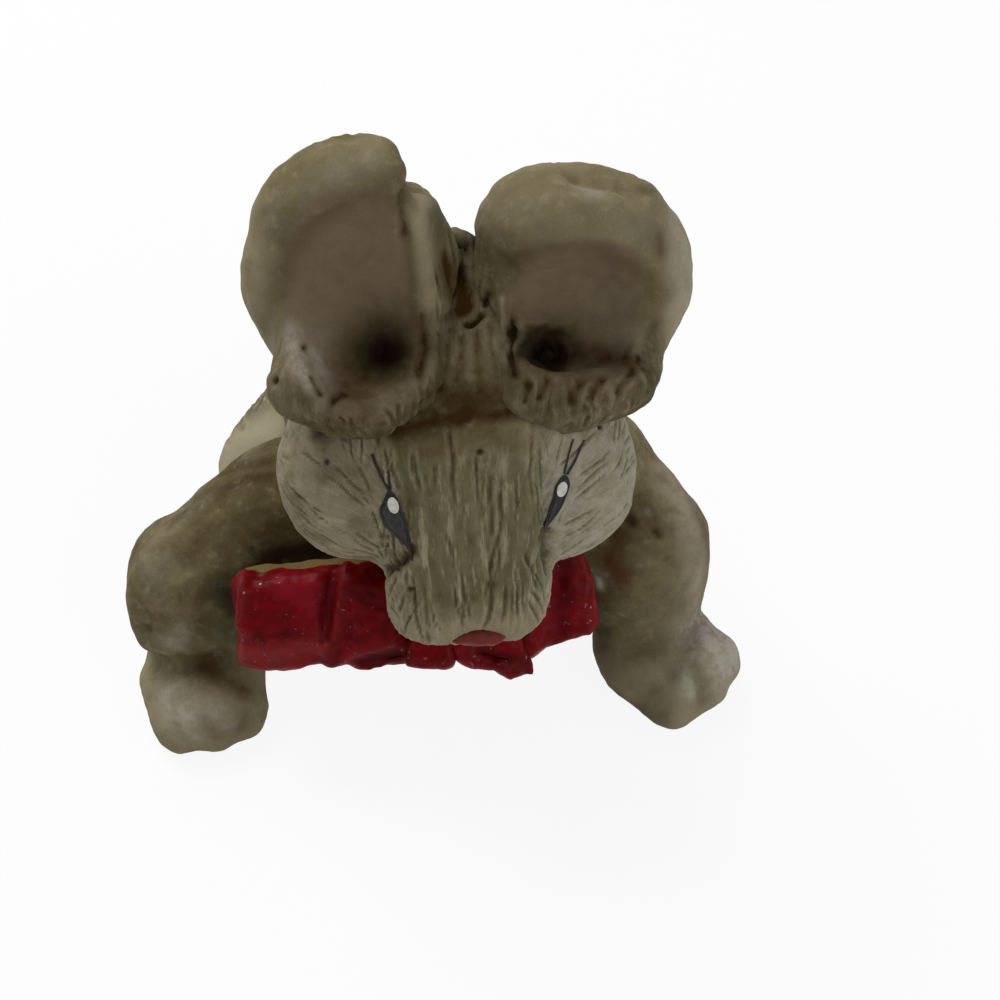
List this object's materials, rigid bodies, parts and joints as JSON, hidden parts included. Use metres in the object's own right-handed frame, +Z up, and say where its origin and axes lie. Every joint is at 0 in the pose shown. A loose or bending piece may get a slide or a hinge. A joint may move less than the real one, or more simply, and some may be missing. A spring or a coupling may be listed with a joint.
{
  "type": "rabbit figurine",
  "caption": "Crouching rabbit figurine in painted cast resin, with large hollowed ears and a folded ribbon bow under its chin; stands on its paws as an ornament.",
  "frame": {"origin": "on the floor, under the middle of the figurine's outline box", "axes": "+Z up; the rabbit faces -Y and its own left is +X; +Y runs from the nose to the tail"},
  "size_m": [0.0728, 0.083, 0.0738],
  "materials": {
    "fur_paint": "matt grey-beige paint with a brown wash in the carved fur",
    "bow_paint": "deep red satin paint",
    "nose_paint": "matt dull red paint"
  },
  "bodies": {
    "root": {"torso": "fur_paint", "head": "fur_paint", "nose": "nose_paint", "ear_left": "fur_paint", "ear_right": "fur_paint", "foreleg_left": "fur_paint", "foreleg_right": "fur_paint", "hind_leg_left": "fur_paint", "hind_leg_right": "fur_paint", "tail": "fur_paint", "neck_ribbon": "bow_paint", "bow_knot": "bow_paint", "bow_loop_left": "bow_paint", "bow_loop_right": "bow_paint", "bow_tail_left": "bow_paint", "bow_tail_right": "bow_paint"}
  },
  "joints": []
}
